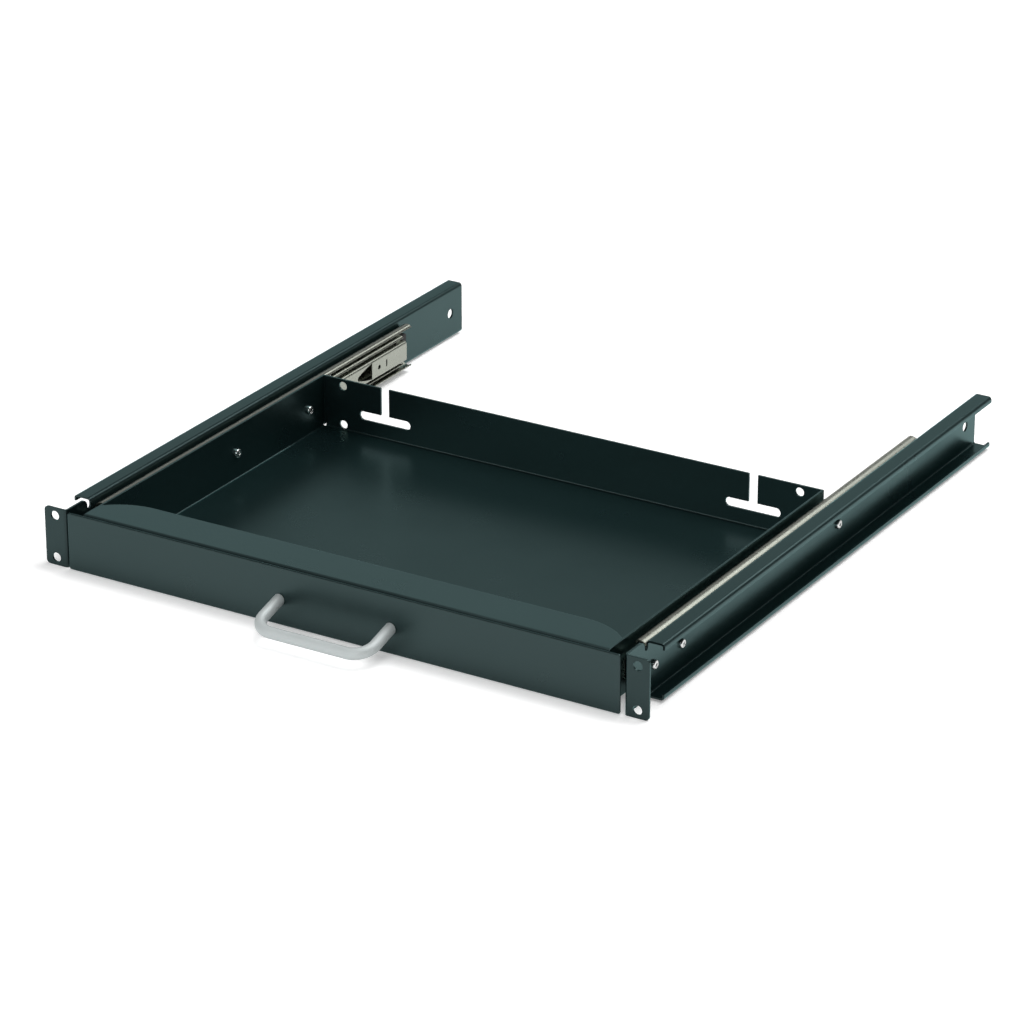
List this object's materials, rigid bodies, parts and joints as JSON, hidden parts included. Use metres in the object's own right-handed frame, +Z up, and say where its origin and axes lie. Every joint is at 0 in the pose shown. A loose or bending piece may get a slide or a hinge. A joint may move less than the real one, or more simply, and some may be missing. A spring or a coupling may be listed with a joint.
{
  "type": "rack keyboard drawer",
  "caption": "Shallow sliding keyboard drawer for a 19 inch rack, one unit high: folded tray with palm strip, front panel and bar handle, on telescopic ball slides between two eared rails.",
  "frame": {"origin": "centre of the four ear holes, on the rear face of the rack ears", "axes": "+X to the right as seen from the front, +Y away from the front, +Z up"},
  "size_m": [0.4826, 0.5607, 0.0436],
  "materials": {
    "black_paint": "satin powder coat",
    "zinc": "zinc plated",
    "handle_satin": "satin",
    "screws": "bright plated",
    "balls": "polished",
    "cage": "plain",
    "bumper": "matt"
  },
  "bodies": {
    "rails": {"left_rail": "black_paint", "right_rail": "black_paint", "left_outer_member": "zinc", "right_outer_member": "zinc", "left_rail_screws": "screws", "right_rail_screws": "screws", "left_bumper": "bumper", "right_bumper": "bumper"},
    "drawer": {"tray": "black_paint", "front_panel": "black_paint", "handle": "handle_satin", "handle_screws": "screws", "panel_studs": "screws", "panel_nuts": "screws", "left_inner_member": "zinc", "right_inner_member": "zinc", "left_tray_screws": "screws", "right_tray_screws": "screws"},
    "left_middle": {"left_middle_member": "zinc"},
    "left_outer_ball_cage": {"left_outer_cage": "cage", "left_outer_balls": "balls"},
    "left_inner_ball_cage": {"left_inner_cage": "cage", "left_inner_balls": "balls"},
    "right_middle": {"right_middle_member": "zinc"},
    "right_outer_ball_cage": {"right_outer_cage": "cage", "right_outer_balls": "balls"},
    "right_inner_ball_cage": {"right_inner_cage": "cage", "right_inner_balls": "balls"}
  },
  "joints": [
    {"name": "drawer_slide", "type": "slide", "parent": "rails", "child": "drawer", "axis": [0, -1, 0], "range_m": [0, 0.4]},
    {"name": "left_middle_slide", "type": "slide", "parent": "rails", "child": "left_middle", "axis": [0, -1, 0], "range_m": [0, 0.2]},
    {"name": "left_outer_cage_slide", "type": "slide", "parent": "rails", "child": "left_outer_ball_cage", "axis": [0, -1, 0], "range_m": [0, 0.1]},
    {"name": "left_inner_cage_slide", "type": "slide", "parent": "left_middle", "child": "left_inner_ball_cage", "axis": [0, -1, 0], "range_m": [0, 0.1]},
    {"name": "right_middle_slide", "type": "slide", "parent": "rails", "child": "right_middle", "axis": [0, -1, 0], "range_m": [0, 0.2]},
    {"name": "right_outer_cage_slide", "type": "slide", "parent": "rails", "child": "right_outer_ball_cage", "axis": [0, -1, 0], "range_m": [0, 0.1]},
    {"name": "right_inner_cage_slide", "type": "slide", "parent": "right_middle", "child": "right_inner_ball_cage", "axis": [0, -1, 0], "range_m": [0, 0.1]}
  ],
  "couplings": [
    {"joint": "left_middle_slide", "follows": "drawer_slide", "ratio": 0.5},
    {"joint": "left_outer_cage_slide", "follows": "drawer_slide", "ratio": 0.25},
    {"joint": "left_inner_cage_slide", "follows": "drawer_slide", "ratio": 0.25},
    {"joint": "right_middle_slide", "follows": "drawer_slide", "ratio": 0.5},
    {"joint": "right_outer_cage_slide", "follows": "drawer_slide", "ratio": 0.25},
    {"joint": "right_inner_cage_slide", "follows": "drawer_slide", "ratio": 0.25}
  ]
}
